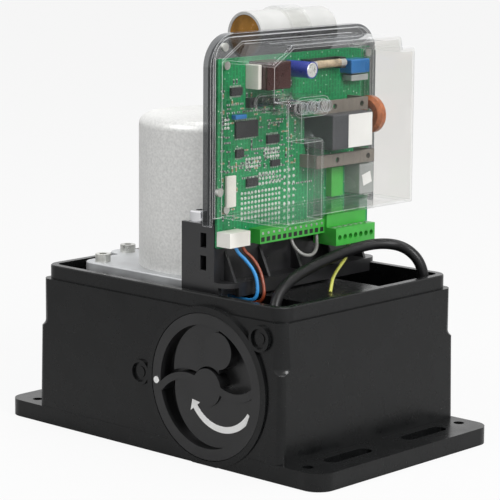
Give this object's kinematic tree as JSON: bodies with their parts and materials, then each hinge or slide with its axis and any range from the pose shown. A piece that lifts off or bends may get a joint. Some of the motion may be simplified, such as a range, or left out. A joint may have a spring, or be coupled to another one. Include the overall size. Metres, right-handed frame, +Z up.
{
  "type": "sliding gate motor",
  "caption": "Electric drive for a sliding gate: black cast foot with a release knob and rear pinion, upright aluminium motor, and a control board under a clear stepped cover.",
  "frame": {"origin": "centre of the underside of the foot", "axes": "+X right along the knob face, +Y from the knob to the pinion, +Z up"},
  "size_m": [0.275, 0.1977, 0.2745],
  "materials": {
    "black_paint": "gloss black paint over a casting",
    "cast_aluminium": "blasted aluminium",
    "motor_aluminium": "blasted aluminium",
    "lamination": "stacked steel",
    "copper_enamel": "enamelled wire",
    "steel": "ground",
    "zinc_steel": "zinc plated",
    "chrome_steel": "polished",
    "bronze": "machined bronze",
    "seal_rubber": "matt",
    "knob_plastic": "satin black",
    "acetal": "natural",
    "bracket_plastic": "satin black",
    "smoked_plastic": "smoked clear",
    "clear_plastic": "clear",
    "button_clear": "clear",
    "board_green": "solder mask",
    "relay_shell": "moulded",
    "blue_coating": "dipped",
    "transformer_shell": "moulded",
    "clear_relay_shell": "moulded",
    "capacitor_sleeve": "sleeve",
    "fuse_glass": "clear",
    "holder_black": "moulded",
    "sink_aluminium": "anodised",
    "coil_orange": "wound",
    "switch_black": "moulded",
    "terminal_green": "moulded",
    "socket_white": "moulded",
    "can_shell": "off-white",
    "potting_brown": "potting resin",
    "clip_plastic": "moulded",
    "cable_black": "flexible jacket",
    "lead_blue": "flexible jacket",
    "lead_brown": "flexible jacket",
    "lead_earth": "flexible jacket",
    "lead_grey": "flexible jacket"
  },
  "bodies": {
    "housing": {"base_housing": "black_paint", "motor_flange": "cast_aluminium", "flange_screws": "zinc_steel", "motor_case": "motor_aluminium", "stator_core": "lamination", "stator_windings": "copper_enamel", "worm_lower_bearing": "chrome_steel", "worm_upper_bearing": "chrome_steel", "rotor_top_bearing": "chrome_steel", "output_front_bearing": "chrome_steel", "output_rear_bearing": "chrome_steel", "oil_seal": "seal_rubber", "knob_seal": "seal_rubber", "guide_pins": "steel", "gear_cover": "black_paint", "board_bracket": "bracket_plastic", "bracket_bolt": "chrome_steel", "board_tray": "smoked_plastic", "board_screws": "zinc_steel", "clear_cover": "clear_plastic", "cover_screws": "zinc_steel", "circuit_board": "board_green", "relay": "relay_shell", "varistor": "blue_coating", "transformer": "transformer_shell", "small_relay": "clear_relay_shell", "fuse_holder": "holder_black", "fuse": "fuse_glass", "heat_sinks": "sink_aluminium", "toroid_coil": "coil_orange", "filter_capacitor": "capacitor_sleeve", "tact_switches": "switch_black", "terminal_header": "terminal_green", "terminal_plug": "terminal_green", "motor_socket": "socket_white", "run_capacitor": "can_shell", "capacitor_potting": "potting_brown", "capacitor_clip": "clip_plastic", "power_cable": "cable_black", "blue_lead": "lead_blue", "brown_lead": "lead_brown", "earth_lead": "lead_earth", "grey_lead": "lead_grey"},
    "motor_rotor": {"rotor": "lamination", "worm_shaft": "steel"},
    "output": {"output_shaft": "steel", "worm_wheel": "bronze", "drive_pinion": "zinc_steel", "shaft_key": "steel", "pinion_washer": "zinc_steel", "pinion_bolt": "zinc_steel"},
    "knob": {"release_knob": "knob_plastic"},
    "slider": {"release_slider": "acetal"},
    "clutch": {"clutch_rod": "steel", "clutch_pin": "steel", "clutch_dog": "steel"},
    "left_button": {"button_left": "button_clear"},
    "middle_button": {"button_middle": "button_clear"},
    "right_button": {"button_right": "button_clear"}
  },
  "joints": [
    {"name": "rotor_spin", "type": "hinge", "parent": "housing", "child": "motor_rotor", "pos_m": [-0.017, -0.008, 0.157], "axis": [0, 0, 1], "continuous": true},
    {"name": "output_spin", "type": "hinge", "parent": "housing", "child": "output", "pos_m": [0.045, 0.03, 0.0488], "axis": [0, 1, 0], "continuous": true},
    {"name": "knob_turn", "type": "hinge", "parent": "housing", "child": "knob", "pos_m": [0.045, -0.078, 0.0488], "axis": [0, 1, 0], "range_deg": [0, 140]},
    {"name": "slider_push", "type": "slide", "parent": "housing", "child": "slider", "axis": [0, 1, 0], "range_m": [0, 0.005]},
    {"name": "clutch_push", "type": "slide", "parent": "output", "child": "clutch", "axis": [0, 1, 0], "range_m": [0, 0.005]},
    {"name": "left_press", "type": "slide", "parent": "housing", "child": "left_button", "axis": [-1, 0, 0], "range_m": [0, 0.0012], "stiffness_N_per_m": 800},
    {"name": "middle_press", "type": "slide", "parent": "housing", "child": "middle_button", "axis": [-1, 0, 0], "range_m": [0, 0.0012], "stiffness_N_per_m": 800},
    {"name": "right_press", "type": "slide", "parent": "housing", "child": "right_button", "axis": [-1, 0, 0], "range_m": [0, 0.0012], "stiffness_N_per_m": 800}
  ],
  "couplings": [
    {"joint": "output_spin", "follows": "rotor_spin", "ratio": -0.033333},
    {"joint": "slider_push", "follows": "knob_turn", "m_per_rad": 0.0020463},
    {"joint": "clutch_push", "follows": "knob_turn", "m_per_rad": 0.0020463}
  ]
}
